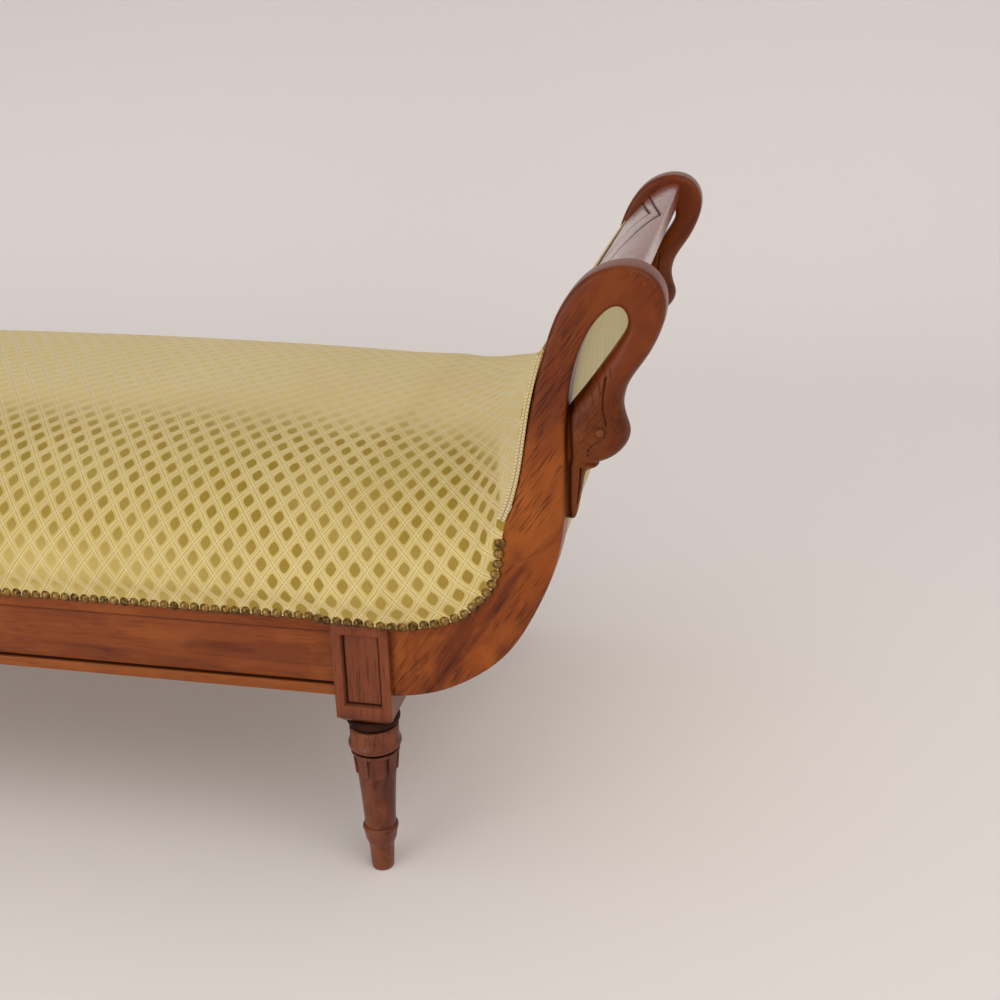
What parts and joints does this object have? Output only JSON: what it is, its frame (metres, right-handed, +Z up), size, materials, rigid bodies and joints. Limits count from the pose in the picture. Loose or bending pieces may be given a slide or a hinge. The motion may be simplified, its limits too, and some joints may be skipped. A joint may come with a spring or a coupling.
{
  "type": "recamier",
  "caption": "Backless upholstered daybed for reclining, whose seat sweeps up onto raised ends held by carved swan-neck stiles on turned legs.",
  "frame": {"origin": "on the floor under the middle of the object", "axes": "+Z up, +X along the length towards the right end as seen from the front, the front at -Y"},
  "size_m": [1.8126, 0.676, 0.702],
  "materials": {
    "polished_wood": "polished red-brown wood, streaky grain",
    "dark_leg_wood": "dark polished wood, nearly black in the crevices",
    "plain_frame_wood": "plain unpolished wood",
    "cover_cloth": "woven pale gold cloth with a lattice of cream ribs and olive lozenges",
    "nail_brass": "aged brass",
    "jute": "woven jute webbing, hessian and fibre stuffing",
    "braid": "pale cream woven braid",
    "screw_steel": "plain steel"
  },
  "bodies": {
    "root": {"leg_front_right": "dark_leg_wood", "leg_front_left": "dark_leg_wood", "leg_back_right": "dark_leg_wood", "leg_back_left": "dark_leg_wood", "swan_stile_front_right": "polished_wood", "swan_stile_front_left": "polished_wood", "swan_stile_back_right": "polished_wood", "swan_stile_back_left": "polished_wood", "swan_eyes": "dark_leg_wood", "front_rail": "polished_wood", "back_rail": "polished_wood", "cross_rail_right": "plain_frame_wood", "cross_rail_left": "plain_frame_wood", "end_rail_right": "polished_wood", "end_rail_left": "polished_wood", "crest_rail_right": "polished_wood", "crest_rail_left": "polished_wood", "middle_bearer": "plain_frame_wood", "corner_blocks": "plain_frame_wood", "corner_screws": "screw_steel", "seat_webbing_long": "jute", "seat_webbing_cross": "jute", "seat_hessian": "jute", "seat_pad": "jute", "seat_cover": "cover_cloth", "end_webbing_right": "jute", "end_webbing_left": "jute", "end_hessian_right": "jute", "end_hessian_left": "jute", "end_pad_right": "jute", "end_pad_left": "jute", "end_cover_right": "cover_cloth", "end_cover_left": "cover_cloth", "outside_back_right": "cover_cloth", "outside_back_left": "cover_cloth", "braid_right": "braid", "braid_left": "braid", "nails_front": "nail_brass", "nails_back": "nail_brass"}
  },
  "joints": []
}
